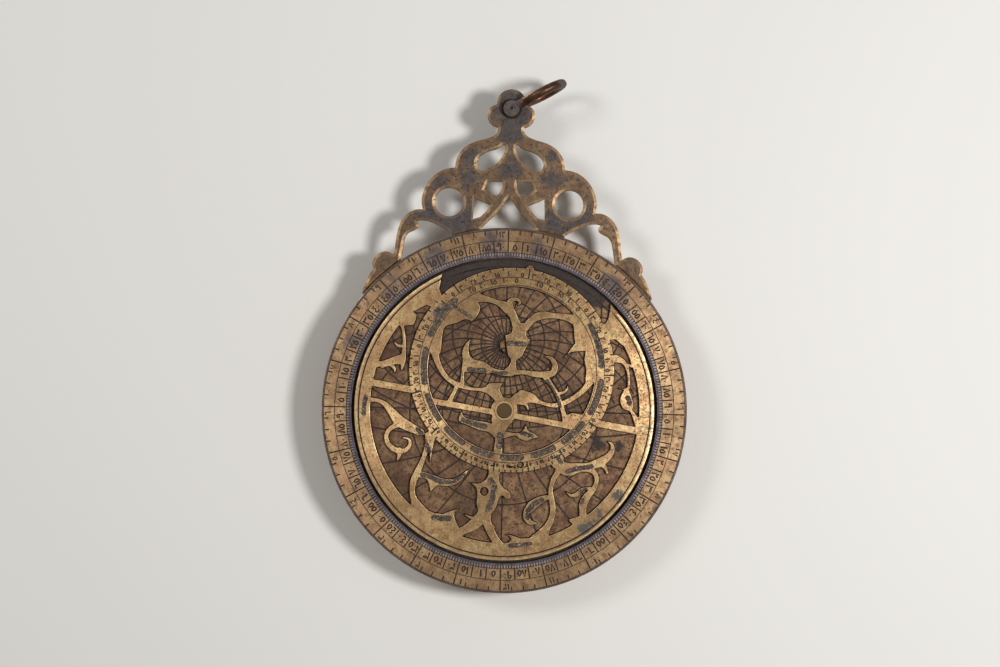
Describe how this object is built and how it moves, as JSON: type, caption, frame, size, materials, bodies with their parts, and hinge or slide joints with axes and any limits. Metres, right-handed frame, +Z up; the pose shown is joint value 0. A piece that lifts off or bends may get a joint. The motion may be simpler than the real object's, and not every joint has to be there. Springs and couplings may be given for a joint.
{
  "type": "planispheric astrolabe",
  "caption": "Brass planispheric astrolabe: graduated disc with pierced star map turning over latitude plates, pierced throne with swinging shackle, and a sighting rule behind.",
  "frame": {"origin": "centre of the axis bore, in the plane of the back plate's rear face", "axes": "+Z up through the throne, -Y out of the graduated face towards the viewer, +X to the viewer's right"},
  "size_m": [0.15, 0.027, 0.2118],
  "materials": {
    "limb_brass": "aged engraved brass with dark filled lines",
    "rete_brass": "rubbed golden brass, pierced and filed",
    "plate_brass": "dark brown toned engraved brass",
    "throne_brass": "cast and filed brass with grey corrosion",
    "back_brass": "engraved brass, toned brown",
    "rivet_brass": "filed flush",
    "axis_metal": "pale worn tube",
    "washer_brass": "filed scalloped washer",
    "shackle_copper": "forged red brass, brown patina",
    "pin_metal": "grey-brown pin",
    "dark_washer": "dark oxidised washer",
    "rule_brass": "scraped brass rule",
    "vane_brass": "filed brass"
  },
  "bodies": {
    "mater": {"back_plate": "back_brass", "limb_ring": "limb_brass", "limb_rivets": "rivet_brass", "throne": "throne_brass", "throne_rivets": "rivet_brass", "climate_plate_1": "plate_brass", "climate_plate_2": "plate_brass", "climate_plate_3": "plate_brass", "climate_plate_4": "plate_brass", "plate_stud": "rivet_brass", "hollow_axis": "axis_metal", "scalloped_washer": "washer_brass", "shackle_pin": "pin_metal", "pin_washers": "dark_washer"},
    "rete": {"rete": "rete_brass"},
    "shackle": {"shackle": "shackle_copper"},
    "alidade": {"alidade_rule": "rule_brass", "right_vane": "vane_brass", "left_vane": "vane_brass", "vane_rivets": "rivet_brass"}
  },
  "joints": [
    {"name": "rete_turn", "type": "hinge", "parent": "mater", "child": "rete", "pos_m": [0, -0.0055, 0], "axis": [0, -1, 0], "continuous": true},
    {"name": "alidade_turn", "type": "hinge", "parent": "mater", "child": "alidade", "pos_m": [0, 0.001, 0], "axis": [0, -1, 0], "continuous": true},
    {"name": "shackle_swing", "type": "hinge", "parent": "mater", "child": "shackle", "pos_m": [0, -0.0033, 0.124], "axis": [0, -1, 0], "range_deg": [-62, 186]}
  ]
}
